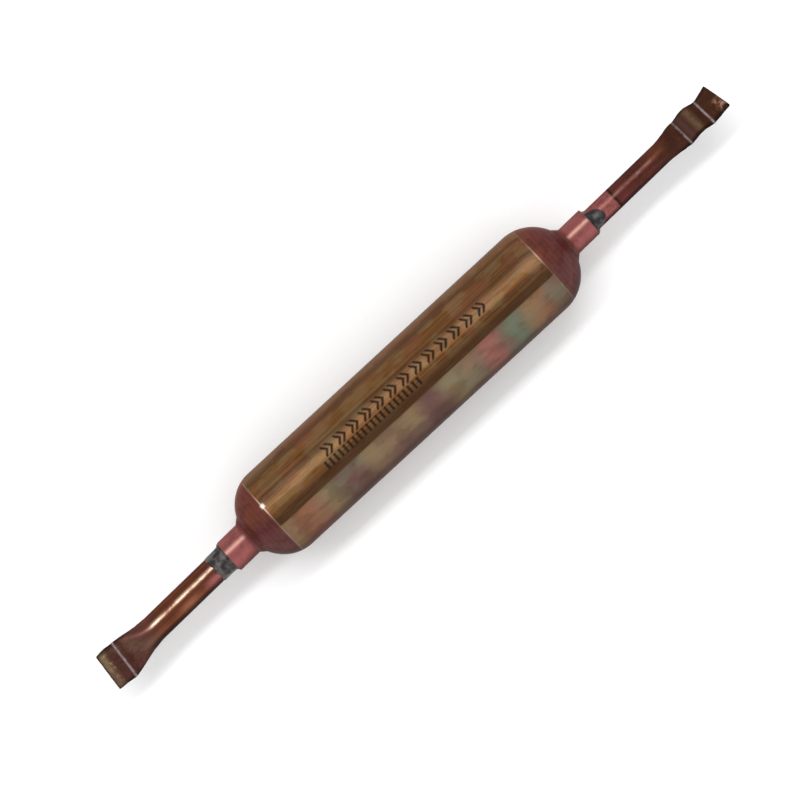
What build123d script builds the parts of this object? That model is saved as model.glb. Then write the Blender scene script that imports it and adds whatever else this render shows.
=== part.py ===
from build123d import *
import os
from math import cos, hypot, pi, radians, sin, tan

# Pencil-type filter drier for a small refrigeration circuit: a spun copper shell with a neck
# at each end, a copper stub tube brazed into each neck and pinched shut, and inside it a bed
# of desiccant beads between two screens.
# Millimetres. The axis of the shell is X, with the outlet towards +X, and the origin is at
# the middle of the shell's straight cylinder, on its axis.

# shell
body_diameter = 20.0
shell_wall = 0.7
body_length = 73.0  # straight cylinder between the two domes
inlet_dome_depth = 9.1  # half-axis of the dome's ellipse, along X
outlet_dome_depth = 9.6
inlet_neck_length = 6.4  # from the dome to the mouth
outlet_neck_length = 6.85
neck_wall = 0.75
neck_root_radius = 0.8  # hollow corner between dome and neck
throat_radius = 0.4  # the same corner inside
mouth_lip_radius = 0.25
inlet_tilt = 1.37  # each neck leans a little with its tube, degrees about Z
outlet_tilt = 1.24

# stub tubes
inlet_tube_diameter = 6.0
outlet_tube_diameter = 5.0
inlet_tube_wall = 0.7
outlet_tube_wall = 0.7
inlet_insertion = 5.4  # length of tube inside the neck
outlet_insertion = 5.8
braze_gap = 0.08  # between tube and neck, filled with braze

# pinched end of the inlet tube: a wedge, one bent crease, then the cut end
inlet_round_length = 22.1  # from the mouth to where the tube starts to flatten
inlet_wedge_length = 8.6  # from there to the crease
inlet_crease_to_cut = 4.6
inlet_flat_width = 9.1
inlet_cut_width = 8.7
inlet_flat_height = 1.35
inlet_clock = -16.0  # turn of the flattened end about the tube
inlet_skew = -7.6  # crease and cut run across the tube this far off square
inlet_crease_lift = 1.25  # how far the crease stands above the tube's axis
inlet_knee_lift = 0.1  # level to which the strip drops behind the crease
inlet_crease_to_knee = 2.3  # where it does

# pinched end of the outlet tube: a wedge, two bent creases, then the cut end
outlet_round_length = 20.9
outlet_wedge_length = 4.9
outlet_wedge_to_crease = 1.1
outlet_crease_pitch = 6.4  # between the two creases
outlet_crease_to_cut = 4.3
outlet_flat_width = 7.1
outlet_cut_width = 7.5
outlet_flat_height = 1.4
outlet_clock = -28.0
outlet_cut_skew = 8.0
outlet_wedge_lift = 0.25  # level of the strip before the first crease
outlet_crest_lift = 0.85  # level between the creases
outlet_crest_length = 1.4
outlet_crease_drop = 0.25  # how far the second crease lies below the tube's axis
outlet_cut_lift = 1.35

crown_angle = 87.0  # where an oval's narrow end arcs meet its broad ones
inlet_softness = 0.3  # how gently a wedge starts and ends, from 0 to 1
outlet_softness = 0.8
wedge_steps = 4
crease_land = 0.5  # flat width of each crease
run_in = 0.6  # round length at the start of each wedge
slit_height = 0.25  # what the bore narrows to inside a wedge
parting_height = 0.12  # line between the pressed walls, open at the cut end
parting_depth = 0.6

# braze at the mouths
braze_leg = 0.4  # fillet's leg on the face of the neck
braze_run = 0.7  # fillet's leg along the tube
braze_hollow = 0.08  # how far the fillet is dished
inlet_smear_reach = 4.3  # how far braze has run along the inlet tube
inlet_smear_height = 0.14
inlet_notch_radius = 1.0  # bays in the smear's outer edge
inlet_notch_count = 7
inlet_notch_step = 2.3  # spreads their sizes and places unevenly, in radians
inlet_notch_shift = 0.33  # by up to this share of the pitch
inlet_notch_growth = 0.25  # and this share of the radius
outlet_smear_reach = 1.1
outlet_smear_height = 0.12
outlet_drop_radius = 1.9  # one large drop of braze beside the outlet mouth
outlet_drop_start = 0.9
outlet_drop_end = 2.3
outlet_drop_height = 0.3
outlet_drop_clock = 9.0  # from +Z towards -Y

# screens and the rings that hold them
ring_height = 1.6  # radial depth
ring_wall = 0.5
screen_grip = 0.9  # rim of a screen held inside its ring
inlet_screen_thickness = 0.5
outlet_screen_thickness = 0.3
inlet_dish_depth = 1.4  # how far a screen bulges towards its neck
outlet_dish_depth = 3.2

body_radius = body_diameter / 2
bore_radius = body_radius - shell_wall
half_body = body_length / 2


def dome_reach(depth, half_height, radius):
    """Distance along X from the centre of a dome's ellipse to its outline at a radius."""
    return depth * (1 - (radius / half_height) ** 2) ** 0.5


def neck_seat(side, dome_depth, neck_radius, neck_length, tilt):
    """Plane across a neck at half its length, z outwards; the neck and its tube share z."""
    middle = half_body + dome_reach(dome_depth, body_radius, neck_radius) + neck_length / 2
    facing = Plane(origin=(side * middle, 0, 0), x_dir=(0, side, 0), z_dir=(side, 0, 0))
    return Plane(facing * Location((0, 0, 0), (0, tilt, 0)))


inlet_tube_radius = inlet_tube_diameter / 2
outlet_tube_radius = outlet_tube_diameter / 2
inlet_socket = inlet_tube_radius + braze_gap
outlet_socket = outlet_tube_radius + braze_gap
inlet_neck = inlet_socket + neck_wall
outlet_neck = outlet_socket + neck_wall
inlet_seat = neck_seat(-1, inlet_dome_depth, inlet_neck, inlet_neck_length, inlet_tilt)
outlet_seat = neck_seat(1, outlet_dome_depth, outlet_neck, outlet_neck_length, outlet_tilt)
inlet_mouth = inlet_seat.offset(inlet_neck_length / 2)
outlet_mouth = outlet_seat.offset(outlet_neck_length / 2)


# ---- shell: one spun piece, closed in at each end to a neck ----

def body_profile(radius, inlet_depth, outlet_depth):
    """Half section of the body on the X axis, with a quarter ellipse at each end."""
    with BuildSketch() as profile:
        with BuildLine():
            Line((-half_body, radius), (half_body, radius))
            EllipticalCenterArc((half_body, 0), outlet_depth, radius, 0, arc_size=90)
            Line((half_body + outlet_depth, 0), (-half_body - inlet_depth, 0))
            EllipticalCenterArc((-half_body, 0), inlet_depth, radius, 90, arc_size=90)
        make_face()
    return profile.sketch


def neck_start(seat, length):
    """Plane inside the dome, one neck length behind the seat, its x in line with the dome's seam."""
    turn = 0 if seat.origin.X > 0 else 180
    return Plane(seat.offset(-length) * Location((0, 0, 0), (0, 0, turn)))


def corner_edges(piece, seat, depth, half_height, radius):
    """Edges where a neck's outside or bore, of a given radius, meets its dome."""
    side = 1 if seat.origin.X > 0 else -1
    root = seat.to_local_coords(Vector(side * (half_body + dome_reach(depth, half_height, radius)), 0, 0))

    def lies_on_corner(edge):
        middle = seat.to_local_coords(edge @ 0.5)
        return abs(middle.Z - root.Z) < neck_wall / 2 and abs(hypot(middle.X, middle.Y) - radius) < neck_wall / 2

    return piece.edges().filter_by(lies_on_corner)


with BuildPart() as shell:
    add(body_profile(body_radius, inlet_dome_depth, outlet_dome_depth))
    revolve(axis=Axis.X)
    for seat, depth, radius, length in (
        (inlet_seat, inlet_dome_depth, inlet_neck, inlet_neck_length),
        (outlet_seat, outlet_dome_depth, outlet_neck, outlet_neck_length),
    ):
        with BuildSketch(neck_start(seat, length)):
            Circle(radius)
        extrude(amount=length + length / 2)
        fillet(corner_edges(shell, seat, depth, body_radius, radius), neck_root_radius)
        mouth_face = shell.faces().sort_by(Axis(seat.origin, seat.z_dir))[-1]
        fillet(mouth_face.edges(), mouth_lip_radius)
    add(body_profile(bore_radius, inlet_dome_depth - shell_wall, outlet_dome_depth - shell_wall))
    revolve(axis=Axis.X, mode=Mode.SUBTRACT)
    for seat, depth, radius, length in (
        (inlet_seat, inlet_dome_depth, inlet_socket, inlet_neck_length),
        (outlet_seat, outlet_dome_depth, outlet_socket, outlet_neck_length),
    ):
        with BuildSketch(neck_start(seat, length)):
            Circle(radius)
        extrude(amount=length + length / 2, mode=Mode.SUBTRACT)
        fillet(corner_edges(shell, seat, depth - shell_wall, bore_radius, radius), throat_radius)


# ---- stub tubes: round, then flattened through ovals of four arcs ----

def across(pinch, reach, lift=0.0, skew=0.0):
    """Plane across a tube at a distance from its neck, lifted off its axis, turned off square."""
    return Plane(pinch * Location((0, lift, reach), (0, skew, 0)))


def oval(plane, width, height, skew=0.0):
    """Sketch of four tangent arcs on a plane, a circle when width and height agree.

    Its narrow end arcs meet the broad ones at the crown angle. On a skew plane it is wider,
    so that it keeps its width square to the tube.
    """
    crown = radians(crown_angle)
    half_width = width / 2 / cos(radians(skew))
    lean = 1 / cos(crown) - tan(crown)
    end_radius = (height / 2 - lean * half_width) / (1 - lean)
    end_centre = half_width - end_radius
    crown_radius = end_radius + end_centre / cos(crown)
    crown_centre = crown_radius - height / 2
    with BuildSketch(plane) as outline:
        with BuildLine():
            CenterArc((end_centre, 0), end_radius, -crown_angle, 2 * crown_angle)
            CenterArc((0, -crown_centre), crown_radius, crown_angle, 180 - 2 * crown_angle)
            CenterArc((-end_centre, 0), end_radius, 180 - crown_angle, 2 * crown_angle)
            CenterArc((0, crown_centre), crown_radius, 180 + crown_angle, 180 - 2 * crown_angle)
        make_face()
    return outline.sketch


def wedge(pinch, start, length, diameter, width, height, lift, skew, softness, wall=0.0):
    """Sections from the round tube to the flat, or of its bore when a wall is given."""
    bore = diameter - 2 * wall
    sections = [oval(across(pinch, reach), bore, bore) for reach in (start - run_in, start - run_in / 2)]
    for step in range(wedge_steps + 1):
        share = step / wedge_steps
        pressed = (1 - softness) * share + softness * (1 - cos(pi * share)) / 2
        section_width = diameter + (width - diameter) * pressed - 2 * wall
        section_height = max(diameter + (height - diameter) * pressed - 2 * wall, slit_height)
        plane = across(pinch, start + length * share, lift * share, skew * share)
        sections.append(oval(plane, section_width, section_height, skew * share))
    return sections


def strip(pinch, bends, height):
    """Sections of the pressed strip at its bends, each given as reach, lift, width and skew."""
    return [oval(across(pinch, reach, lift, skew), width, height, skew)
            for reach, lift, width, skew in bends]


def parting_line(pinch, bends, height):
    """Sections of the shallow slit between the pressed walls, which the cut lays open."""
    (last_reach, last_lift, _, _), (cut_reach, cut_lift, cut_width, skew) = bends[-2:]
    slope = (cut_lift - last_lift) / (cut_reach - last_reach)
    sections = []
    for depth in (0, parting_depth):
        with BuildSketch(across(pinch, cut_reach - depth, cut_lift - slope * depth, skew)) as slit:
            Rectangle(cut_width - height, parting_height)
        sections.append(slit.sketch)
    return sections


inlet_pinch = Plane(inlet_mouth * Location((0, 0, 0), (0, 0, inlet_clock)))
inlet_crease = inlet_round_length + inlet_wedge_length
inlet_wedge = (inlet_pinch, inlet_round_length, inlet_wedge_length - crease_land / 2, inlet_tube_diameter,
               inlet_flat_width, inlet_flat_height, inlet_crease_lift, inlet_skew, inlet_softness)
inlet_bends = [
    (inlet_crease - crease_land / 2, inlet_crease_lift, inlet_flat_width, inlet_skew),
    (inlet_crease + crease_land / 2, inlet_crease_lift, inlet_flat_width, inlet_skew),
    (inlet_crease + inlet_crease_to_knee, inlet_knee_lift, inlet_flat_width, inlet_skew),
    (inlet_crease + inlet_crease_to_cut, 0, inlet_cut_width, inlet_skew),
]

with BuildPart() as inlet_tube:
    with BuildSketch(inlet_mouth.offset(-inlet_insertion)):
        Circle(inlet_tube_radius)
    extrude(amount=inlet_insertion + inlet_round_length - run_in)
    loft(wedge(*inlet_wedge))
    loft(strip(inlet_pinch, inlet_bends, inlet_flat_height), ruled=True)
    with BuildSketch(inlet_mouth.offset(-inlet_insertion)):
        Circle(inlet_tube_radius - inlet_tube_wall)
    extrude(amount=inlet_insertion + inlet_round_length - run_in, mode=Mode.SUBTRACT)
    loft(wedge(*inlet_wedge, inlet_tube_wall), mode=Mode.SUBTRACT)
    loft(parting_line(inlet_pinch, inlet_bends, inlet_flat_height), ruled=True, mode=Mode.SUBTRACT)

outlet_pinch = Plane(outlet_mouth * Location((0, 0, 0), (0, 0, outlet_clock)))
outlet_flat = outlet_round_length + outlet_wedge_length
outlet_crease = outlet_flat + outlet_wedge_to_crease
outlet_crest = outlet_crease + outlet_crease_pitch / 2
outlet_second_crease = outlet_crease + outlet_crease_pitch
outlet_wedge = (outlet_pinch, outlet_round_length, outlet_wedge_length, outlet_tube_diameter,
                outlet_flat_width, outlet_flat_height, outlet_wedge_lift, 0, outlet_softness)
outlet_bends = [(outlet_flat, outlet_wedge_lift, outlet_flat_width, 0)]
for middle, length, lift in (
    (outlet_crease, crease_land, 0),
    (outlet_crest, outlet_crest_length, outlet_crest_lift),
    (outlet_second_crease, crease_land, -outlet_crease_drop),
):
    outlet_bends.append((middle - length / 2, lift, outlet_flat_width, 0))
    outlet_bends.append((middle + length / 2, lift, outlet_flat_width, 0))
outlet_bends.append((outlet_second_crease + outlet_crease_to_cut, outlet_cut_lift,
                     outlet_cut_width, outlet_cut_skew))

with BuildPart() as outlet_tube:
    with BuildSketch(outlet_mouth.offset(-outlet_insertion)):
        Circle(outlet_tube_radius)
    extrude(amount=outlet_insertion + outlet_round_length - run_in)
    loft(wedge(*outlet_wedge))
    loft(strip(outlet_pinch, outlet_bends, outlet_flat_height), ruled=True)
    with BuildSketch(outlet_mouth.offset(-outlet_insertion)):
        Circle(outlet_tube_radius - outlet_tube_wall)
    extrude(amount=outlet_insertion + outlet_round_length - run_in, mode=Mode.SUBTRACT)
    loft(wedge(*outlet_wedge, outlet_tube_wall), mode=Mode.SUBTRACT)
    loft(parting_line(outlet_pinch, outlet_bends, outlet_flat_height), ruled=True, mode=Mode.SUBTRACT)


# ---- braze: fills each socket round its tube, with a fillet at the mouth ----

def braze_profile(mouth, insertion, tube_radius, smear_reach, smear_height):
    """Half section of the braze, x along the tube beyond the mouth and y out from its axis."""
    film = tube_radius + braze_gap
    smear = tube_radius + smear_height
    section = Plane(origin=mouth.origin, x_dir=mouth.z_dir, z_dir=mouth.x_dir)
    with BuildSketch(section) as profile:
        with BuildLine():
            Polyline((smear_reach, smear), (smear_reach, tube_radius), (-insertion, tube_radius),
                     (-insertion, film), (0, film), (0, film + braze_leg))
            hollow = (braze_run / 2 - braze_hollow, (film + braze_leg + smear) / 2 - braze_hollow)
            ThreePointArc((0, film + braze_leg), hollow, (braze_run, smear))
            Line((braze_run, smear), (smear_reach, smear))
        make_face()
    return profile.sketch


def radial(mouth, reach, turn):
    """Plane on a tube's axis at a distance from its neck, its z pointing out through the wall."""
    return Plane(mouth * Location((0, 0, reach), (0, 0, turn)) * Location((0, 0, 0), (-90, 0, 0)))


with BuildPart() as inlet_braze:
    add(braze_profile(inlet_mouth, inlet_insertion, inlet_tube_radius, inlet_smear_reach, inlet_smear_height))
    revolve(axis=Axis(inlet_mouth.origin, inlet_mouth.z_dir))
    for notch in range(inlet_notch_count):
        uneven = sin(notch * inlet_notch_step)
        turn = (notch + uneven * inlet_notch_shift) * 360 / inlet_notch_count
        with BuildSketch(radial(inlet_mouth, inlet_smear_reach, turn)):
            Circle(inlet_notch_radius * (1 + uneven * inlet_notch_growth))
        extrude(amount=inlet_tube_diameter, mode=Mode.SUBTRACT)

with BuildPart() as outlet_braze:
    add(braze_profile(outlet_mouth, outlet_insertion, outlet_tube_radius, outlet_smear_reach,
                      outlet_smear_height))
    revolve(axis=Axis(outlet_mouth.origin, outlet_mouth.z_dir))
    for reach in (outlet_drop_start, outlet_drop_end):
        sunk = outlet_tube_radius + outlet_drop_height - outlet_drop_radius
        with Locations(radial(outlet_mouth, reach, outlet_drop_clock).offset(sunk)):
            Sphere(outlet_drop_radius)
    with BuildSketch(outlet_mouth.offset(-outlet_insertion)):
        Circle(outlet_tube_radius)
    extrude(amount=outlet_insertion + outlet_round_length, mode=Mode.SUBTRACT)


# ---- screens, the channel rings that hold their rims, and the bed between them ----

open_radius = bore_radius - ring_height
grip_radius = open_radius + screen_grip


def ring_profile(side, thickness):
    """Channel section: its outer face lies where the shell's bore starts to close in."""
    with BuildSketch() as profile:
        with Locations((side * (half_body - thickness / 2 - ring_wall), bore_radius - ring_height / 2)):
            Rectangle(thickness + 2 * ring_wall, ring_height)
        with Locations((side * (half_body - thickness / 2 - ring_wall), open_radius + screen_grip / 2)):
            Rectangle(thickness, screen_grip, mode=Mode.SUBTRACT)
    return profile.sketch


def dish_apex(rim, depth, share):
    """Point at a share of a dish's radius on its circular arc, from the axis outwards."""
    dish_radius = (open_radius ** 2 + depth ** 2) / (2 * depth)
    height = share * open_radius
    return rim + depth - dish_radius + (dish_radius ** 2 - height ** 2) ** 0.5, height


def dish_arc(side, rim, depth):
    """Arc from the axis out to the open radius of a ring, bulging towards the neck."""
    points = [dish_apex(rim, depth, share) for share in (0, 0.5, 1)]
    return ThreePointArc(*[(side * x, y) for x, y in points])


def screen_profile(side, thickness, depth):
    """Dished mesh with a flat rim that fills the groove of its ring."""
    inner = half_body - ring_wall - thickness
    outer = half_body - ring_wall
    with BuildSketch() as profile:
        with BuildLine():
            dish_arc(side, inner, depth)
            Polyline((side * inner, open_radius), (side * inner, grip_radius), (side * outer, grip_radius),
                     (side * outer, open_radius))
            dish_arc(side, outer, depth)
            Line((side * (inner + depth), 0), (side * (outer + depth), 0))
        make_face()
    return profile.sketch


with BuildPart() as inlet_screen_ring:
    add(ring_profile(-1, inlet_screen_thickness))
    revolve(axis=Axis.X)

with BuildPart() as outlet_screen_ring:
    add(ring_profile(1, outlet_screen_thickness))
    revolve(axis=Axis.X)

with BuildPart() as inlet_screen:
    add(screen_profile(-1, inlet_screen_thickness, inlet_dish_depth))
    revolve(axis=Axis.X)

with BuildPart() as outlet_screen:
    add(screen_profile(1, outlet_screen_thickness, outlet_dish_depth))
    revolve(axis=Axis.X)

inlet_rim = half_body - ring_wall - inlet_screen_thickness
outlet_rim = half_body - ring_wall - outlet_screen_thickness
with BuildPart() as desiccant_bed:
    with BuildSketch():
        with BuildLine():
            dish_arc(-1, inlet_rim, inlet_dish_depth)
            Polyline((-inlet_rim, open_radius), (-inlet_rim + ring_wall, open_radius),
                     (-inlet_rim + ring_wall, bore_radius), (outlet_rim - ring_wall, bore_radius),
                     (outlet_rim - ring_wall, open_radius), (outlet_rim, open_radius))
            dish_arc(1, outlet_rim, outlet_dish_depth)
            Line((-inlet_rim - inlet_dish_depth, 0), (outlet_rim + outlet_dish_depth, 0))
        make_face()
    revolve(axis=Axis.X)


os.makedirs("parts", exist_ok=True)
for name, piece in {
    "shell": shell,
    "inlet_tube": inlet_tube,
    "outlet_tube": outlet_tube,
    "inlet_braze": inlet_braze,
    "outlet_braze": outlet_braze,
    "inlet_screen_ring": inlet_screen_ring,
    "outlet_screen_ring": outlet_screen_ring,
    "inlet_screen": inlet_screen,
    "outlet_screen": outlet_screen,
    "desiccant_bed": desiccant_bed,
}.items():
    piece.part.label = name
    export_step(piece.part, f"parts/{name}.step")
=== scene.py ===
import bmesh
import bpy
from math import cos, exp, pi, radians, sin
from mathutils import Matrix, Vector, noise


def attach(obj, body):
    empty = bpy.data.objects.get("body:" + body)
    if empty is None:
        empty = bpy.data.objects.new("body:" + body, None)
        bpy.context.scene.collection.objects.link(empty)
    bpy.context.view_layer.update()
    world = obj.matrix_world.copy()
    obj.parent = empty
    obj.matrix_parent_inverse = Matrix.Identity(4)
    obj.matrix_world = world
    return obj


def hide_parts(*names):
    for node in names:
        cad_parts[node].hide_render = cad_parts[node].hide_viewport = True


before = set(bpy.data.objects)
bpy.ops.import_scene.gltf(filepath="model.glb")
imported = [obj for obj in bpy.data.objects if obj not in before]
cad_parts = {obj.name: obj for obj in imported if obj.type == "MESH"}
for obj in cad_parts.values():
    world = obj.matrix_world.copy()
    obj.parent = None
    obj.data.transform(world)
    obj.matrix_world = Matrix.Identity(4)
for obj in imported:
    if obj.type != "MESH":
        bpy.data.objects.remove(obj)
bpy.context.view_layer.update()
print("frame loaded")

mm = 0.001


# shader maths on wires between sockets

class Wire:
    def __init__(self, tree, socket):
        self.tree = tree
        self.socket = socket

    def feed(self, target, value):
        if isinstance(value, Wire):
            self.tree.links.new(value.socket, target)
        else:
            target.default_value = value

    def node(self, kind, inputs=(), output=0, **settings):
        made = self.tree.nodes.new(kind)
        for key, value in settings.items():
            setattr(made, key, value)
        for key, value in dict(inputs).items():
            self.feed(made.inputs[key], value)
        return Wire(self.tree, made.outputs[output])

    def maths(self, operation, *values):
        return self.node("ShaderNodeMath", enumerate(values), operation=operation)

    def split(self, count=3):
        return [self.node("ShaderNodeSeparateXYZ", {0: self}, output=axis) for axis in range(count)]

    def __add__(self, other):
        return self.maths("ADD", self, other)

    def __sub__(self, other):
        return self.maths("SUBTRACT", self, other)

    def __rsub__(self, other):
        return self.maths("SUBTRACT", other, self)

    def __mul__(self, other):
        return self.maths("MULTIPLY", self, other)

    def __mod__(self, other):
        return self.maths("FLOORED_MODULO", self, other)

    def __neg__(self):
        return self * -1.0

    def __abs__(self):
        return self.maths("ABSOLUTE", self)

    __radd__ = __add__
    __rmul__ = __mul__


def rise(value, low, high):
    # nothing up to the low end, one from the high end on, smooth between
    return value.node(
        "ShaderNodeMapRange",
        {0: value, 1: low, 2: high, 3: 0.0, 4: 1.0},
        interpolation_type="SMOOTHSTEP",
    )


def bump(value, centre, reach):
    # one at the centre, nothing at that distance either side
    return 1.0 - rise(abs(value - centre), 0.0, reach)


def between(value, low, high, soft=0.1):
    # one from low to high, with soft ends
    return rise(value, low - soft, low + soft) * (1.0 - rise(value, high - soft, high + soft))


def wave(value):
    return value.maths("SINE", value)


def cells(vector, size, detail=3.0, rough=0.55, twist=0.0):
    # cloudy noise around one half
    return vector.node(
        "ShaderNodeTexNoise",
        {"Vector": vector, "Scale": size, "Detail": detail, "Roughness": rough, "Distortion": twist},
    )


def join(x, y, z):
    return x.node("ShaderNodeCombineXYZ", {0: x, 1: y, 2: z})


def blend(factor, under, over):
    under, over = [(*side, 1.0) if isinstance(side, tuple) else side for side in (under, over)]
    return factor.node("ShaderNodeMix", {0: factor, 6: under, 7: over}, output=2, data_type="RGBA")


def tone(red, green, blue):
    # linear colour from screen values of 0 to 255, by the sRGB curve
    return tuple(
        level / 255 / 12.92 if level < 11 else ((level / 255 + 0.055) / 1.055) ** 2.4
        for level in (red, green, blue)
    )


class Finish:
    # a principled material whose position wires are in millimetres
    def __init__(self, name, metallic, roughness, attribute=None, edge=(1.0, 1.0, 1.0)):
        self.material = bpy.data.materials.new(name)
        self.material.use_nodes = True
        tree = self.material.node_tree
        self.shader = tree.nodes["Principled BSDF"]
        self.shader.inputs["Metallic"].default_value = metallic
        self.shader.inputs["Roughness"].default_value = roughness
        self.shader.inputs["Specular Tint"].default_value = (*edge, 1.0)
        start = Wire(tree, None)
        place = start.node("ShaderNodeTexCoord", output="Object")
        self.place = start.node("ShaderNodeVectorMath", {0: place, "Scale": 1 / mm}, operation="SCALE")
        self.x, self.y, self.z = self.place.split()
        if attribute:
            flow = start.node("ShaderNodeAttribute", attribute_name=attribute, output="Vector")
            self.along, self.across = flow.split(2)

    def send(self, **wires):
        for key, wire in wires.items():
            wire.feed(self.shader.inputs[key.replace("_", " ")], wire)

    def relief(self, height, distance, strength):
        inputs = {"Height": height, "Distance": distance * mm, "Strength": strength}
        self.send(Normal=height.node("ShaderNodeBump", inputs))


# meshes from circles that are shaped and bridged

def meshObject(name, bm):
    mesh = bpy.data.meshes.new(name)
    bm.to_mesh(mesh)
    bm.free()
    for polygon in mesh.polygons:
        polygon.use_smooth = True
    made = bpy.data.objects.new(name, mesh)
    bpy.context.scene.collection.objects.link(made)
    return made


def ringMesh(name, rings, attribute=None, closed=False):
    # each ring is a list of (point in mm, value of the attribute) going the same way round
    bm = bmesh.new()
    layer = bm.verts.layers.float_vector.new(attribute) if attribute else None
    loops = []
    for ring in rings:
        circle = bmesh.ops.create_circle(bm, segments=len(ring), radius=1.0)["verts"]
        loops.append([edge for vert in circle for edge in vert.link_edges if vert == edge.verts[0]])
        for vert, (point, value) in zip(circle, ring):
            vert.co = Vector(point) * mm
            if layer:
                vert[layer] = value
    pairs = list(zip(loops, loops[1:]))
    if closed:
        pairs.append((loops[-1], loops[0]))
    for first, second in pairs:
        bmesh.ops.bridge_loops(bm, edges=first + second)
    if not closed:
        for loop in (loops[0], loops[-1]):
            bmesh.ops.contextual_create(bm, geom=loop)
    bmesh.ops.recalc_face_normals(bm, faces=bm.faces[:])
    return meshObject(name, bm)


def dress(piece, finish, slot, *nodes):
    piece.data.materials.append(finish.material)
    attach(piece, "root")
    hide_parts(*nodes)


def linear(keys, place):
    # value at a place in a list of (place, value), held beyond both ends
    for (start, low), (end, high) in zip(keys, keys[1:]):
        if place <= end:
            share = min(max((place - start) / (end - start), 0.0), 1.0)
            return low + (high - low) * share
    return keys[-1][1]


def smoothed(keys, place, reach, count=3):
    # mean of readings spread evenly over a reach either side
    return sum(linear(keys, place + reach * (2 * step / (count - 1) - 1)) for step in range(count)) / count


# shell: body, domes and necks, sizes in mm and degrees

shell = {
    "half": 36.5,  # of the straight body
    "radius": 10.0,
    "wall": 0.7,
    "corner": 0.8,  # hollow corner where a dome meets its neck
    "flare": 0.15,  # share of the corner that lies before the neck's root
    "domeClear": 0.88,  # the dome's outside stops this far above the neck
    "boreClear": 0.4,  # and its inside this far above the socket
    "lip": 0.25,  # rounded edge of a mouth
    "leanBefore": 1.0,  # a neck starts to lean this far before its root
    "leanEase": 2.0,
    "steps": {"dome": 40, "body": 24, "corner": 8, "neck": 6, "lip": 4, "bore": 5, "around": 256},
    "ends": {
        # seat is the middle of the neck, half is half its length, and ease keeps its mouth short of that
        "inlet": {
            "side": -1, "seat": 48.1061, "half": 3.2, "ease": 0.0021, "tilt": 1.37,
            "dome": 9.1, "neck": 3.83, "socket": 3.09,
        },
        "outlet": {
            "side": 1, "seat": 48.9771, "half": 3.425, "ease": 0.0011, "tilt": 1.24,
            "dome": 9.6, "neck": 3.33, "socket": 2.59,
        },
    },
}


def neckRoot(end):
    return end["seat"] - end["half"]


def domeArc(radius, dome, least):
    # quarter oval from the body down to the least radius
    steps = shell["steps"]["dome"]
    turns = [pi / 2 * (1 - step / steps) for step in range(steps + 1)]
    arc = [(shell["half"] + dome * cos(turn), radius * sin(turn)) for turn in turns]
    return [point for point in arc if point[1] > least]


def endOutline(end):
    # outside and inside of one end as (x, radius), both from the body to the mouth
    steps, wall, corner, lip = shell["steps"], shell["wall"], shell["corner"], shell["lip"]
    neck, root = end["neck"], neckRoot(end)
    mouth = end["seat"] + end["half"] - end["ease"]
    outside = domeArc(shell["radius"], end["dome"], neck + shell["domeClear"])
    for step in range(1, steps["corner"] + 1):
        bend = sin(pi / 2 * step / steps["corner"])
        x = root + corner * bend - corner * shell["flare"] * (1 - bend)
        outside.append((x, neck + corner * (1 - bend)))
    straight = mouth - lip - root - corner
    for step in range(1, steps["neck"]):
        outside.append((root + corner + straight * step / steps["neck"], neck))
    for step in range(steps["lip"] + 1):
        turn = pi / 2 * step / steps["lip"]
        outside.append((mouth - lip + lip * sin(turn), neck - lip + lip * cos(turn)))
    inside = domeArc(shell["radius"] - wall, end["dome"] - wall, end["socket"] + shell["boreClear"])
    for step in range(1, steps["bore"] + 1):
        inside.append((root + (mouth - root) * step / steps["bore"], end["socket"]))
    return [[(end["side"] * x, radius) for x, radius in line] for line in (outside, inside)]


def shellOutline():
    # outside from the inlet mouth to the outlet mouth, then back along the inside
    inletOutside, inletInside = endOutline(shell["ends"]["inlet"])
    outletOutside, outletInside = endOutline(shell["ends"]["outlet"])
    half, steps = shell["half"], shell["steps"]["body"]
    body = [(-half + 2 * half * step / steps, shell["radius"]) for step in range(1, steps)]
    return inletOutside[::-1] + body + outletOutside + outletInside[::-1] + inletInside


def lean(point):
    # the necks lean a little, towards -Y at the inlet and +Y at the outlet
    end = shell["ends"]["outlet" if point.x > 0 else "inlet"]
    over = max(abs(point.x) / mm - neckRoot(end) + shell["leanBefore"], 0.0)
    ease = min(over / shell["leanEase"], 1.0)
    point.y += end["side"] * over * radians(end["tilt"]) * ease * mm


def spunShell():
    bm = bmesh.new()
    verts = [bm.verts.new((x * mm, 0.0, radius * mm)) for x, radius in shellOutline()]
    edges = [bm.edges.new(pair) for pair in zip(verts, verts[1:] + verts[:1])]
    bmesh.ops.spin(
        bm, geom=verts + edges, cent=(0, 0, 0), axis=(1, 0, 0), angle=2 * pi,
        steps=shell["steps"]["around"], use_merge=True,
    )
    for vert in bm.verts:
        lean(vert.co)
    bmesh.ops.recalc_face_normals(bm, faces=bm.faces[:])
    return meshObject("shellSpun", bm)


shellPiece = spunShell()
print("shell made")


# tubes: round at the mouth, then pressed flat, creased and cut

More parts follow.
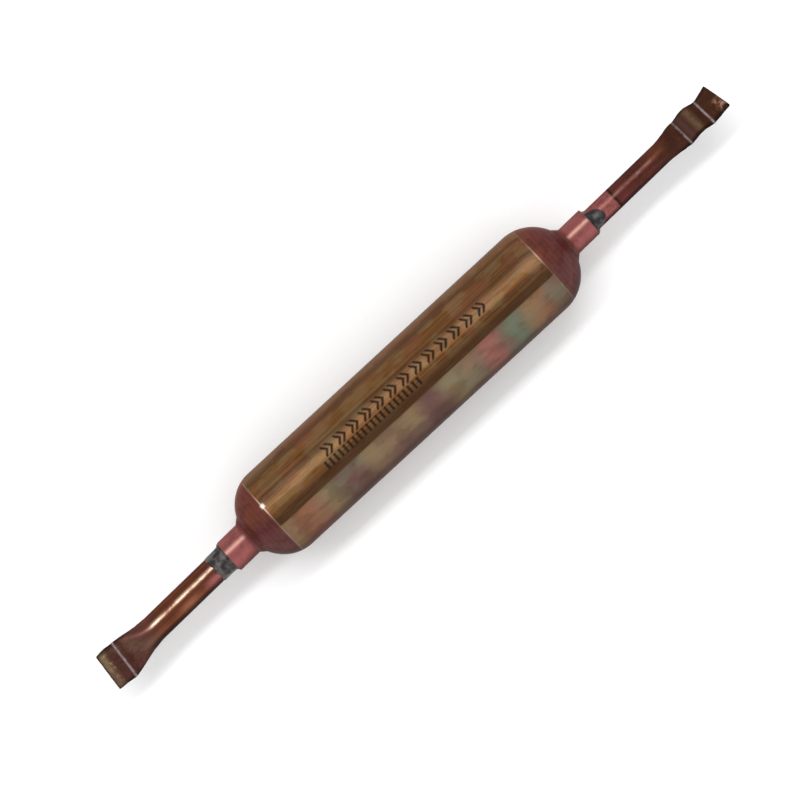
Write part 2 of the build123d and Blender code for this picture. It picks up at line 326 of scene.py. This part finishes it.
tubes = {
    # each list holds (reach from the mouth, value): mm, but degrees of skew, and a square of 2 is round
    "inlet": {
        "radius": 3.0, "wall": 0.7, "insertion": 5.4, "cut": 35.3, "clock": -16.0,
        "width": [
            (22.0, 6.0), (24.5, 6.55), (28.0, 8.15), (30.4, 9.1), (31.0, 9.15), (33.0, 9.1), (35.3, 8.7),
        ],
        "height": [(22.0, 6.0), (24.5, 5.2), (28.0, 2.75), (30.4, 1.45), (33.0, 1.35), (35.3, 1.3)],
        "lift": [(22.1, 0.0), (26.0, 0.45), (30.45, 1.22), (30.95, 1.25), (33.0, 0.1), (35.3, 0.0)],
        "skew": [(22.1, 0.0), (30.7, -7.6)],
        "square": [(22.0, 2.0), (28.0, 2.05), (30.3, 2.5), (31.5, 3.2), (35.3, 3.4)],
        "creases": (30.7,), "burnishAndGleam": (0.9,), "shine": 0.6, "dull": 0.25,
    },
    "outlet": {
        "radius": 2.5, "wall": 0.7, "insertion": 5.8, "cut": 37.6, "clock": -28.0,
        "width": [
            (20.9, 5.0), (22.3, 5.4), (25.0, 6.8), (26.5, 7.0), (30.0, 7.25), (33.0, 6.95), (37.6, 7.5),
        ],
        "height": [(20.9, 5.0), (22.3, 4.3), (25.0, 1.9), (26.5, 1.45), (33.3, 1.4), (37.6, 1.35)],
        "lift": [
            (20.9, 0.0), (25.8, 0.25), (26.65, 0.02), (27.15, 0.0), (29.4, 0.85), (30.8, 0.85),
            (33.05, -0.25), (33.55, -0.25), (37.6, 1.35),
        ],
        "skew": [(33.3, 0.0), (37.6, 8.0)],
        "square": [(20.9, 2.0), (25.0, 2.1), (26.5, 2.8), (28.0, 3.2), (37.6, 3.4)],
        "creases": (26.9, 33.3), "burnishAndGleam": (0.6, 0.9), "shine": 0.1, "dull": 0.42,
    },
}
pressing = {
    "around": 96,
    "roundStep": 0.9,  # between rings on the round tube
    "flatStep": 0.25,
    "creaseStep": 0.12,
    "creaseReach": 0.7,
    "lastRing": 0.3,  # no further ring is started this near the cut
    "edge": 0.1,  # and none lies nearer than this
    "roundTo": 0.5,  # the section stays round up to this far before the press
    "smooth": {"width": 0.5, "height": 0.4, "lift": 0.3},
    "waver": {"width": {"size": 0.12, "pace": 0.9}, "lift": {"size": 0.05, "pace": 0.5}},
    "chamfer": 0.12,
    "slit": {"sink": 0.15, "height": 0.14},
    "slitEnd": {"sink": 0.6, "height": 0.1},
    "bore": {"broken": 0.15, "rings": (4.0, 12.0), "stop": 1.0},
}


def pressedFrom(tube):
    return tube["width"][0][0]


def mouthMatrix(name):
    # z points out of the mouth and y up
    end = shell["ends"][name]
    side = end["side"]
    facing = Matrix(((0, 0, side, side * end["seat"]), (side, 0, 0, 0), (0, 1, 0, 0), (0, 0, 0, 1)))
    return facing @ Matrix.Rotation(radians(end["tilt"]), 4, "Y") @ Matrix.Translation((0, 0, end["half"]))


def tubeMatrix(name, reach, sink=0.0):
    # where the tube's section lies at a reach from the mouth
    tube, waver = tubes[name], pressing["waver"]["lift"]
    lift = linear(tube["lift"], reach)
    if reach > pressedFrom(tube):
        lift = smoothed(tube["lift"], reach, pressing["smooth"]["lift"], 5)
        lift += waver["size"] * noise.noise(Vector((reach * waver["pace"], 3.1, 0.7)))
    return (
        mouthMatrix(name)
        @ Matrix.Rotation(radians(tube["clock"]), 4, "Z")
        @ Matrix.Translation((0, lift, reach - sink))
        @ Matrix.Rotation(radians(linear(tube["skew"], reach)), 4, "Y")
    )


def tubeSection(name, reach):
    # width, height and squareness of the oval at a reach from the mouth
    tube, smooth, waver = tubes[name], pressing["smooth"], pressing["waver"]["width"]
    if reach < pressedFrom(tube) - pressing["roundTo"]:
        return 2 * tube["radius"], 2 * tube["radius"], 2.0
    slant = cos(radians(linear(tube["skew"], reach)))
    width = linear(tube["width"], reach) / slant
    if reach > pressedFrom(tube):
        width = smoothed(tube["width"], reach, smooth["width"]) / slant
        seed = shell["ends"][name]["side"]
        width += waver["size"] * noise.noise(Vector((reach * waver["pace"], 1.7, seed)))
    return width, smoothed(tube["height"], reach, smooth["height"]), linear(tube["square"], reach)


def ovalRing(matrix, width, height, square, reach, rough=0.0):
    # each point also carries its reach, and where it lies across and up the section
    ring = []
    for step in range(pressing["around"]):
        turn = 2 * pi * step / pressing["around"]
        c, s = cos(turn), sin(turn)
        x = width / 2 * abs(c) ** (2 / square) * (1 if c >= 0 else -1)
        y = height / 2 * abs(s) ** (2 / square) * (1 if s >= 0 else -1)
        out = -rough * abs(noise.noise(Vector((x * 1.3, y * 1.3, reach))))
        ring.append((matrix @ Vector((x, y, out)), (reach, x, y)))
    return ring


def ringReaches(tube):
    # far apart on the round tube, close together near a crease
    step = pressing["roundStep"]
    count = int((tube["insertion"] + pressedFrom(tube)) / step)
    reaches = [-tube["insertion"] + index * step for index in range(count)]
    reach = reaches[-1]
    while reach < tube["cut"] - pressing["lastRing"]:
        creased = any(abs(reach - crease) < pressing["creaseReach"] for crease in tube["creases"])
        reach += pressing["creaseStep"] if creased else pressing["flatStep"]
        reaches.append(min(reach, tube["cut"] - pressing["edge"]))
    return reaches


def tubeRings(name):
    tube, bore = tubes[name], pressing["bore"]
    outside = []
    for reach in ringReaches(tube):
        outside.append(ovalRing(tubeMatrix(name, reach), *tubeSection(name, reach), reach))
    width, height = tube["width"][-1][1], tube["height"][-1][1]
    slit, slitEnd, chamfer = pressing["slit"], pressing["slitEnd"], pressing["chamfer"]
    # chamfered lip, then the closed slit between the two walls
    for sink, *section, rough in (
        (0.0, width - chamfer, height - chamfer, 4.0, 0.08),
        (slit["sink"], width - height, slit["height"], 6.0, 0.04),
        (slitEnd["sink"], width - height, slitEnd["height"], 6.0, 0.0),
    ):
        outside.append(ovalRing(tubeMatrix(name, tube["cut"], sink), *section, tube["cut"], rough))
    inside = []
    across = 2 * (tube["radius"] - tube["wall"])
    # the bore's edge is broken, so no two rings share a centre and bridge the wrong way round
    for reach in (bore["broken"] - tube["insertion"], *bore["rings"], pressedFrom(tube) - bore["stop"]):
        inside.append(ovalRing(tubeMatrix(name, reach), across, across, 2.0, reach))
    return inside[::-1] + outside


pieces = {}
for name in tubes:
    pieces[name + "Tube"] = ringMesh(name + "TubeDrawn", tubeRings(name), attribute="flow")
print("tubes made")


# braze: a ring round each mouth whose outer edge is uneven

brazes = {
    # neck is where it meets the mouth, reach how far it runs along the tube; drop and swell are the
    # length and height of the rounded drop
    "inlet": {
        "neck": 3.62, "fillet": 0.75, "height": 0.15, "seed": 4.0,
        "reach": 4.0, "wobble": 0.9, "fine": 0.35, "drop": 0.0, "swell": 0.0,
    },
    "outlet": {
        "neck": 3.12, "fillet": 0.55, "height": 0.13, "seed": 9.0,
        "reach": 0.7, "wobble": 0.25, "fine": 0.0, "drop": 2.75, "swell": 0.26,
    },
}
brazing = {
    "around": 144,
    "steps": 22,  # rings from the mouth to the outer edge
    "start": 0.06,
    "wall": 0.08,  # inside the neck, round the tube
    "rim": {"from": -0.01, "to": 0.03, "rounded": 0.1},  # round the mouth
    "sunk": 0.05,  # its ends and its fillet are drawn in by this much
    "lump": 0.45,
    "dropHalf": 0.95,  # radians
    "dropTurn": 0.2,
    "swellTurn": 0.3,
}


def offDrop(turn, middle):
    # how far a turn lies from the drop's middle, where one is the drop's edge
    return ((turn + pi) % (2 * pi) - pi - middle) / brazing["dropHalf"]


def edgeReach(braze, turn):
    # how far the braze has run along the tube at a turn from +Z towards -Y
    wobble, fine = [
        noise.noise(Vector((size * cos(turn), size * sin(turn), braze["seed"]))) for size in (2, 6)
    ]
    drop = max(1 - offDrop(turn, brazing["dropTurn"]) ** 2, 0.0) ** 0.5
    return braze["reach"] + braze["wobble"] * wobble + braze["fine"] * fine + braze["drop"] * drop


def brazeHeight(name, turn, out, share, reach):
    # how far the braze stands off the tube, a share of the way to its outer edge
    braze, radius = brazes[name], tubes[name]["radius"]
    fillet = max(1 - reach / braze["fillet"], 0.0) ** 2 * (braze["neck"] - radius - brazing["sunk"])
    lump = noise.noise(Vector((3 * out.x * radius, 3 * out.y * radius, reach * 1.1 + braze["seed"])) * 0.55)
    drop = exp(-offDrop(turn, brazing["swellTurn"]) ** 4)
    tall = braze["height"] + braze["swell"] * drop * sin(pi * min(share * 0.9 + 0.08, 1.0))
    crown = (1 - share ** 6) ** 0.5
    return fillet + tall * crown * (1 + brazing["lump"] * lump)


def brazeProfile(name, turn, out):
    # (reach, radius) from inside the neck, over the mouth, to the outer edge and back on the tube
    radius, insertion, neck = tubes[name]["radius"], tubes[name]["insertion"], brazes[name]["neck"]
    rim, sunk = brazing["rim"], brazing["sunk"]
    edge = edgeReach(brazes[name], turn)
    profile = [
        (sunk - insertion, radius + brazing["wall"]),
        (-sunk, radius + brazing["wall"]),
        (rim["from"], neck - rim["rounded"]),
        (rim["to"], neck),
    ]
    for step in range(brazing["steps"]):
        share = step / (brazing["steps"] - 1)
        reach = brazing["start"] + (edge - brazing["start"]) * share
        profile.append((reach, radius + brazeHeight(name, turn, out, share, reach)))
    return profile + [(-insertion, radius)]


def brazeRings(name):
    mouth, side = mouthMatrix(name), shell["ends"][name]["side"]
    lines = []
    for step in range(brazing["around"]):
        turn = 2 * pi * step / brazing["around"]
        # local x lies on +Y or -Y, local y on +Z
        out = Vector((-side * sin(turn), cos(turn), 0.0))
        profile = brazeProfile(name, turn, out)
        lines.append([(mouth @ (out * radius + Vector((0, 0, reach))), None) for reach, radius in profile])
    return [list(ring) for ring in zip(*lines)]


for name in brazes:
    pieces[name + "Braze"] = ringMesh(name + "BrazeRun", brazeRings(name), closed=True)
print("braze made")


# finishes: places are in mm, and a turn round the body is in degrees from the top towards -Y

tarnishAndPaintedLight = {
    # oxide colours that heat and handling leave on copper, as they look on screen; the palest also serve as
    # painted highlights and reflections, the darkest as painted shade
    "honey": tone(110, 72, 36),
    "copper": tone(108, 60, 38),
    "umber": tone(58, 38, 24),
    "tan": tone(116, 94, 74),
    "straw": tone(124, 108, 76),
    "salmon": tone(126, 78, 58),
    "rose": tone(94, 48, 46),
    "blush": tone(138, 80, 78),
    "plum": tone(86, 60, 60),
    "verdigris": tone(94, 106, 88),
    "maroon": tone(66, 34, 28),
    "char": tone(28, 17, 15),
    "ink": tone(10, 9, 9),
    "pewter": tone(165, 156, 158),
    "cream": tone(235, 208, 184),
    "spark": (1.0, 0.93, 0.84),
}


def coats(colour, *layers):
    # tints or colours laid one over another, each through its own mask
    for tint, mask in layers:
        colour = blend(mask, colour, tarnishAndPaintedLight[tint] if isinstance(tint, str) else tint)
    return colour


printed = {
    # two rows of ink marks; row and half are round the body, the rest along it
    "chevrons": {
        "row": -2.5, "half": 1.3, "from": -22.5, "to": 24.1, "pitch": 3.6, "stroke": 0.62,
        "tip": 2.4, "slope": 0.85, "gap": 1.3,
    },
    "ticks": {"row": 0.1, "half": 0.85, "from": -23.5, "to": 4.1, "pitch": 1.3, "stroke": 0.58},
    "soft": 0.15,
}


def inkRow(x, off, row):
    # one inside the row, where off is the distance from its middle line
    inside = 1.0 - rise(off, row["half"], row["half"] + printed["soft"])
    return inside * between(x, row["from"], row["to"])


def inkMarks(x, turn):
    # open chevrons towards the outlet, and short ticks below them
    arc = turn * (radians(1.0) * shell["radius"])
    row = printed["chevrons"]
    off = abs(arc - row["row"])
    slanted = x % row["pitch"] - row["tip"] + off * row["slope"]
    strokes = bump(slanted, 0.0, row["stroke"]) + bump(slanted, -row["gap"], row["stroke"])
    chevrons = strokes * inkRow(x, off, row)
    row = printed["ticks"]
    off = abs(arc - row["row"])
    ticks = bump(x % row["pitch"], row["pitch"] / 2, row["stroke"]) * inkRow(x, off, row)
    return chevrons.maths("MAXIMUM", chevrons, ticks)


bodyLook = {
    "metallic": 0.6,
    "roughness": 0.3,
    "underside": (95.0, 125.0),  # turns over which a flank's tint fades
    "heatTintAndReflection": (15.5, 18.0),  # turns at which the heat tints and a lighter painted reflection take over from the painted bands
    "rings": [
        # the clearest rings of heat tint: tint, place, reach and strength
        ("salmon", -33.0, 8.0, 0.7),
        ("blush", 19.5, 5.0, 0.75),
        ("verdigris", 25.5, 4.5, 0.8),
        ("salmon", 33.0, 5.0, 0.5),
    ],
    "domes": {"inlet": (38.45, 38.85), "outlet": (38.7, 39.4)},
    "necks": {"inlet": (45.0, 46.6), "outlet": (45.8, 47.4)},
}


def flank(turn, start, full):
    # one side of the shell, fading again towards the underside
    return rise(turn, start, full) * (1.0 - rise(turn, *bodyLook["underside"]))


def heatTints(x, clouds, mottle):
    # soft rings of oxide colour whose edges wander
    place = x + (mottle - 0.5) * 3.0 + (clouds - 0.5) * 6.0
    slow = wave(place * 0.3 + 1.2) * 0.5 + 0.5
    quick = wave(place * 0.55 + 3.4) * 0.5 + 0.5
    return coats(
        tarnishAndPaintedLight["tan"],
        ("plum", slow * 0.8),
        ("straw", quick * quick * 0.6),
        ("verdigris", rise(clouds, 0.5, 0.62) * 0.3),
        *[(tint, bump(place, spot, reach) * strength) for tint, spot, reach, strength in bodyLook["rings"]],
    )


def bodyColour(finish, turn, clouds, mottle, fine):
    x, y, z = finish.x, finish.y, finish.z
    drawn = cells(join(x * 0.012, y, z), 0.9, 4.0, 0.6)
    thread = cells(join(x * 0.02, y, z), 8.0, 2.0, 0.5)
    stain = cells(join(x * 0.6, y, z), 0.3, 3.0, 0.5)
    uneven = turn + (drawn - 0.5) * 14.0
    heatTintAndReflection = flank(turn, *bodyLook["heatTintAndReflection"])
    patch = rise(turn + (mottle - 0.5) * 20.0, 38.0, 50.0) * heatTintAndReflection
    bare = 1.0 - heatTintAndReflection * 0.75
    return coats(
        tarnishAndPaintedLight["honey"],
        ("umber", rise(drawn, 0.42, 0.62) * 0.6),
        ("salmon", rise(clouds, 0.48, 0.62) * 0.4),
        ("straw", rise(stain, 0.45, 0.6) * 0.3),
        # painted bands along the body: a pale painted highlight band and darker bands of painted dark
        # reflection
        ("tan", bump(uneven, -16.0, 12.0) * 0.3),
        ("umber", bump(uneven, -25.0, 6.0) * 0.45),
        ("umber", bump(uneven, -54.0, 7.0) * 0.7),
        ("umber", flank(uneven, -6.0, 11.0) * 0.8),
        # lower flank: heat tints over a lighter painted reflection with a sharp upper edge
        (heatTints(x, clouds, mottle), heatTintAndReflection),
        ("plum", patch * bump(x + (clouds - 0.5) * 14.0, -6.0, 20.0) * 0.7),
        # scratches and stains, then the two rims: a pale painted reflection along the upper rim and painted
        # shade along the lower
        ("umber", rise(fine, 0.5, 0.68) * bare * 0.45),
        ("tan", rise(thread, 0.55, 0.72) * bare * 0.3),
        ("umber", rise(stain, 0.45, 0.62) * heatTintAndReflection * 0.3),
        ("tan", flank(-turn, 60.0, 76.0) * 0.5),
        ("char", rise(uneven, 48.0, 80.0) * heatTintAndReflection * 0.8),
    )


def domeColour(x, turn, clouds, mottle):
    spun = wave(x * 6.0 + clouds * 5.0)
    return coats(
        tarnishAndPaintedLight["rose"],
        ("copper", rise(clouds, 0.42, 0.62) * 0.5),
        ("plum", flank(turn + (clouds - 0.5) * 80.0, -10.0, 35.0) * 0.6),
        ("maroon", rise(mottle, 0.42, 0.66) * 0.5),
        ("blush", rise(spun, 0.2, 1.0) * 0.1),
        # a pale painted reflection along the upper rim and painted shade along the lower rim
        ("salmon", flank(-turn, 52.0, 80.0) * 0.5),
        ("char", flank(turn, 42.0, 80.0) * 0.8),
    )


def neckColour(turn, mottle):
    return coats(
        tarnishAndPaintedLight["blush"],
        ("rose", rise(mottle, 0.4, 0.65) * 0.4),
        # a painted highlight band on the upper side, and painted shade along the lower rim
        ("cream", bump(turn, -13.0, 13.0) * 0.22),
        ("maroon", flank(turn, 42.0, 72.0) * 0.7),
    )


def shellFinish():
    metallic, roughness = bodyLook["metallic"], bodyLook["roughness"]
    finish = Finish("tintedCopper", metallic, roughness, edge=(0.45, 0.34, 0.3))
    finish.shader.inputs["Specular IOR Level"].default_value = 0.25
    x, y, z, place = finish.x, finish.y, finish.z, finish.place
    turn = x.maths("ARCTAN2", -y, z) * (180 / pi)
    clouds = cells(place, 0.09, 3.0, 0.5, 0.6)
    mottle = cells(place, 0.45, 4.0, 0.6, 0.4)
    grain = cells(place, 2.2, 3.0, 0.6)
    fine = cells(join(x * 0.03, y, z), 3.2, 3.0, 0.65)
    edge = (cells(place, 1.2, 2.0) - 0.5) * 0.5
    domes = rise(x + edge, *bodyLook["domes"]["outlet"]) + rise(edge - x, *bodyLook["domes"]["inlet"])
    necks = rise(x, *bodyLook["necks"]["outlet"]) + rise(-x, *bodyLook["necks"]["inlet"])
    ink = inkMarks(x, turn) * (0.82 + rise(grain, 0.3, 0.6) * 0.17) * (1.0 - domes)
    seams = bump(x, -38.65, 0.25) + bump(x, 39.0, 0.3) * 0.45
    # painted highlight spot on the inlet dome's shoulder
    glint = bump(x + (grain - 0.5) * 0.5, -38.55, 0.75) * bump(turn, -17.0, 4.8)
    # painted shade in the hollow corner where each dome meets its neck
    rootShade = bump(x, -44.9, 0.35) + bump(x, 45.4, 0.4)
    colour = coats(
        bodyColour(finish, turn, clouds, mottle, fine),
        ("ink", ink),
        (domeColour(x, turn, clouds, mottle), domes),
        (neckColour(turn, mottle), necks),
        # pale seam lines where the domes start, brighter where the painted highlight band crosses them
        ("cream", seams * (0.12 + bump(turn, -17.0, 26.0) * 0.5)),
        ("spark", glint * 0.9),
        ("maroon", rootShade * 0.6),
    )
    finish.send(Base_Color=colour, Metallic=metallic - ink * metallic)
    finish.send(Roughness=roughness + fine * 0.08 + mottle * 0.08 + ink * 0.3)
    turned = wave(x * 9.0) * domes * 0.3
    finish.relief(fine * 0.5 + mottle * 0.25 + turned, 0.03, 0.4)
    return finish


def inletColour(along, aside, streaks, clouds, mottle):
    # warm where the torch reached it, plum towards the press, a pale straw band near the cut that is
    # stronger on the upper side, a painted highlight streak down the wedge and painted shadow just before
    # the crease
    low = rise(aside, 0.0, 1.2)
    wander = along + (mottle - 0.5) * 3.0
    patch = bump(wander, 34.2, 1.4) * (1.0 - low * 0.5)
    return coats(
        tarnishAndPaintedLight["copper"],
        ("maroon", rise(streaks, 0.3, 0.75) * 0.7),
        ("umber", rise(clouds, 0.45, 0.65) * 0.3),
        ("blush", (1.0 - rise(wander, 5.0, 9.0)) * low * 0.85),
        ("salmon", bump(wander, 12.5, 4.5) * low * 0.9),
        ("plum", rise(wander, 18.0, 25.0) * 0.6),
        ("maroon", rise(wander, 21.0, 30.0) * 0.35),
        # painted highlight streak running diagonally down the wedge
        ("tan", bump(along + aside * 1.2, 27.0, 3.5) * 0.35),
        # painted shadow just before the crease
        ("maroon", bump(along, 29.6, 1.4) * 0.6),
        ("straw", patch * 0.8),
        ("cream", patch * rise(mottle, 0.5, 0.62) * 0.35),
    )


def outletColour(along, aside, streaks, clouds, mottle):
    # pink up to a sharp line, dark maroon beyond it, and a pale painted highlight on the raised crest
    # between the creases
    wander = along + (mottle - 0.5) * 0.8
    flush = coats(tarnishAndPaintedLight["blush"], ("rose", rise(mottle, 0.4, 0.65) * 0.5))
    chipped = bump(along, 36.9, 1.7) * rise(aside, -1.2, 0.6) * rise(mottle, 0.35, 0.5)
    return coats(
        tarnishAndPaintedLight["rose"],
        ("maroon", rise(streaks, 0.25, 0.6) * 0.8),
        ("umber", rise(clouds, 0.5, 0.65) * 0.4),
        ("copper", rise(mottle, 0.5, 0.66) * 0.35),
        ("rose", bump(wander, 9.0, 3.5) * 0.5),
        (flush, 1.0 - rise(wander, 6.7, 7.3)),
        ("char", bump(along, 7.2, 0.6) * 0.8),
        ("umber", rise(wander, 15.0, 26.0) * 0.6),
        ("copper", bump(wander, 20.0, 5.0) * rise(-aside, 0.0, 1.0) * 0.5),
        ("plum", bump(wander, 28.2, 1.3) * 0.8),
        # painted highlight on the raised crest between the creases
        ("tan", bump(wander, 30.4, 1.6) * 0.6),
        ("honey", rise(along, 24.0, 26.0) * rise(mottle, 0.48, 0.62) * 0.35),
        ("salmon", chipped * 0.8),
        ("cream", chipped * rise(mottle, 0.5, 0.62) * 0.5),
    )


def tubeFinish(name, colouring):
    tube, end = tubes[name], shell["ends"][name]
    finish = Finish(name + "TarnishedCopper", 0.8, 0.3, "flow", (0.3, 0.2, 0.17))
    along, place = finish.along, finish.place
    streaks = cells(join(finish.x * 0.05, finish.y, finish.z), 1.6, 4.0, 0.6)
    clouds = cells(place, 0.25, 3.0, 0.5, 0.8)
    mottle = cells(place, 1.1, 4.0, 0.65, 0.5)
    # how far a point lies from the tube's own middle, towards -Y
    aside = along * (end["side"] * radians(end["tilt"])) - finish.y
    cut, radius, first = tube["cut"], tube["radius"], tube["creases"][0]
    half = tube["width"][-2][1] / 2
    pressed = rise(along, first - 8.0, first - 3.0)
    # painted shade along the lower side of the round tube and along both edges of the pressed part
    rimShade = rise(aside, radius * 0.55, radius * 0.95) * (1.0 - pressed)
    rimShade = rimShade + pressed * rise(abs(finish.across), half * 0.75, half)
    # painted highlight stripe along the upper side of the round tube, fading out before the press
    highlightStripe = bump(aside, -0.22 * radius, 0.24 * radius) * (1.0 - rise(along, first - 10.0, first - 7.0))
    colour = coats(
        colouring(along, aside, streaks, clouds, mottle),
        ("char", pressed * rise(mottle, 0.42, 0.65) * 0.3),
        ("char", rimShade * 0.85),
    )
    # pale crease lines, partly burnish and partly painted highlight
    for spot, burnishAndGleam in zip(tube["creases"], tube["burnishAndGleam"]):
        line = bump(along + (mottle - 0.5) * 0.3, spot, 0.42)
        colour = coats(colour, ("pewter", line * (0.35 + rise(mottle, 0.35, 0.6) * 0.5) * burnishAndGleam))
    colour = coats(
        colour,
        ("char", rise(along, cut - 0.35, cut - 0.03) * 0.85),
        ("cream", highlightStripe * rise(clouds + mottle * 0.3, 0.35, 0.8) * tube["shine"]),
    )
    finish.send(Base_Color=colour, Roughness=tube["dull"] + mottle * 0.06 + pressed * 0.2)
    finish.relief(mottle * (0.2 + pressed * 0.5) + streaks * 0.3, 0.03, 0.2)
    return finish


plain = {
    # the two colours that each plain finish runs between
    "braze": (tone(28, 26, 26), tone(88, 83, 82)),
    "brazeSpeck": tone(120, 110, 106),
    "brass": ((0.40, 0.27, 0.10), (0.62, 0.45, 0.19)),
    "wire": ((0.05, 0.05, 0.05), (0.55, 0.55, 0.53)),
    "bead": ((0.74, 0.66, 0.50), (0.24, 0.20, 0.14)),
    "paper": ((0.93, 0.93, 0.93), (0.96, 0.96, 0.96)),
}


def brazeFinish():
    finish = Finish("brazeAlloy", 0.5, 0.5)
    mottle = cells(finish.place, 0.6, 3.0, 0.5)
    specks = cells(finish.place, 1.8, 3.0, 0.6)
    grey = blend(rise(mottle, 0.38, 0.64), *plain["braze"])
    grey = blend(rise(specks, 0.6, 0.74) * 0.4, grey, plain["brazeSpeck"])
    finish.send(Base_Color=grey, Roughness=0.36 + specks * 0.3)
    finish.relief(mottle + specks * 0.2, 0.1, 0.35)
    return finish


def ringFinish():
    finish = Finish("brassRing", 1.0, 0.35)
    turned = cells(join(finish.x, finish.y * 0.2, finish.z * 0.2), 3.0)
    finish.send(Base_Color=blend(turned, *plain["brass"]), Roughness=0.25 + turned * 0.3)
    finish.relief(turned, 0.02, 0.4)
    return finish


def meshFinish():
    finish = Finish("wireMesh", 1.0, 0.4)
    weave = wave(finish.y * 16.0) * wave(finish.z * 16.0) * 0.5 + 0.5
    finish.send(Base_Color=blend(weave, *plain["wire"]), Roughness=0.3 + weave * 0.2)
    finish.relief(weave, 0.1, 1.0)
    return finish


def beadFinish():
    finish = Finish("desiccantBeads", 0.0, 0.9)
    beads = finish.place.node("ShaderNodeTexVoronoi", {"Vector": finish.place, "Scale": 0.55})
    grain = cells(finish.place, 6.0)
    finish.send(Base_Color=blend(rise(beads, 0.1, 0.75), *plain["bead"]), Roughness=0.8 + grain * 0.2)
    finish.relief(1.0 - beads + grain * 0.1, 0.5, 1.0)
    return finish


dress(shellPiece, shellFinish(), "tinted_copper", "shell")
dress(pieces["inletTube"], tubeFinish("inlet", inletColour), "tarnished_copper", "inlet_tube")
dress(pieces["outletTube"], tubeFinish("outlet", outletColour), "tarnished_copper", "outlet_tube")
braze = brazeFinish()
dress(pieces["inletBraze"], braze, "braze_alloy", "inlet_braze")
dress(pieces["outletBraze"], braze, "braze_alloy", "outlet_braze")
brass, wire = ringFinish(), meshFinish()
hidden = {
    "inlet_screen_ring": brass,
    "outlet_screen_ring": brass,
    "inlet_screen": wire,
    "outlet_screen": wire,
    "desiccant_bed": beadFinish(),
}
for node, finish in hidden.items():
    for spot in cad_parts[node].material_slots:
        spot.link = "OBJECT"
        spot.material = finish.material
print("finishes made")


# floor, light and camera: the floor and camera in mm, the lamps in metres and watts

stage = {
    "floor": -10.1,
    "floorHalf": 3000.0,
    "look": (-2.388, -0.356),
    "turn": 42.7136,
    "height": 1200.0,
    "field": 168.4,  # width of the view at the object
    "sensor": 36.0,
    "clipEnd": 20.0,
    "sky": 0.85,
}
lamps = {
    # tilt is from +Z towards +Y, in degrees
    "key": {"tilt": 24.0, "distance": 1.0, "size": (1.6, 0.16), "power": 5.5},
    "fill": {"tilt": -58.0, "distance": 1.3, "size": (1.8, 1.1), "power": 4.5},
}


def layFloor():
    bm = bmesh.new()
    bmesh.ops.create_grid(bm, x_segments=1, y_segments=1, size=stage["floorHalf"] * mm)
    floor = meshObject("floor", bm)
    floor.location.z = stage["floor"] * mm
    paper = Finish("floorPaper", 0.0, 0.9)
    paper.send(Base_Color=blend(cells(paper.place, 0.8), *plain["paper"]))
    floor.data.materials.append(paper.material)


def lightSky():
    world = bpy.data.worlds.new("studio")
    bpy.context.scene.world = world
    world.use_nodes = True
    sky = world.node_tree.nodes["Background"]
    sky.inputs["Color"].default_value = (1.0, 1.0, 1.0, 1.0)
    sky.inputs["Strength"].default_value = stage["sky"]


def hangLamp(name, lamp):
    light = bpy.data.lights.new(name, "AREA")
    light.shape = "RECTANGLE"
    light.size, light.size_y = lamp["size"]
    light.energy = lamp["power"]
    turn = radians(lamp["tilt"])
    hung = bpy.data.objects.new(name, light)
    hung.location = Vector((0.0, sin(turn), cos(turn))) * lamp["distance"]
    hung.rotation_euler = (-turn, 0, 0)
    bpy.context.scene.collection.objects.link(hung)


def placeCamera():
    camera = bpy.data.objects.new("camera", bpy.data.cameras.new("camera"))
    bpy.context.scene.collection.objects.link(camera)
    camera.data.sensor_width = stage["sensor"]
    camera.data.lens = stage["sensor"] * stage["height"] / stage["field"]
    camera.data.clip_end = stage["clipEnd"]
    camera.location = Vector((*stage["look"], stage["height"])) * mm
    camera.rotation_euler = (0, 0, -radians(stage["turn"]))
    bpy.context.scene.camera = camera


layFloor()
lightSky()
for name, lamp in lamps.items():
    hangLamp(name, lamp)
placeCamera()
bpy.context.scene.view_settings.view_transform = "Standard"
print("stage made")
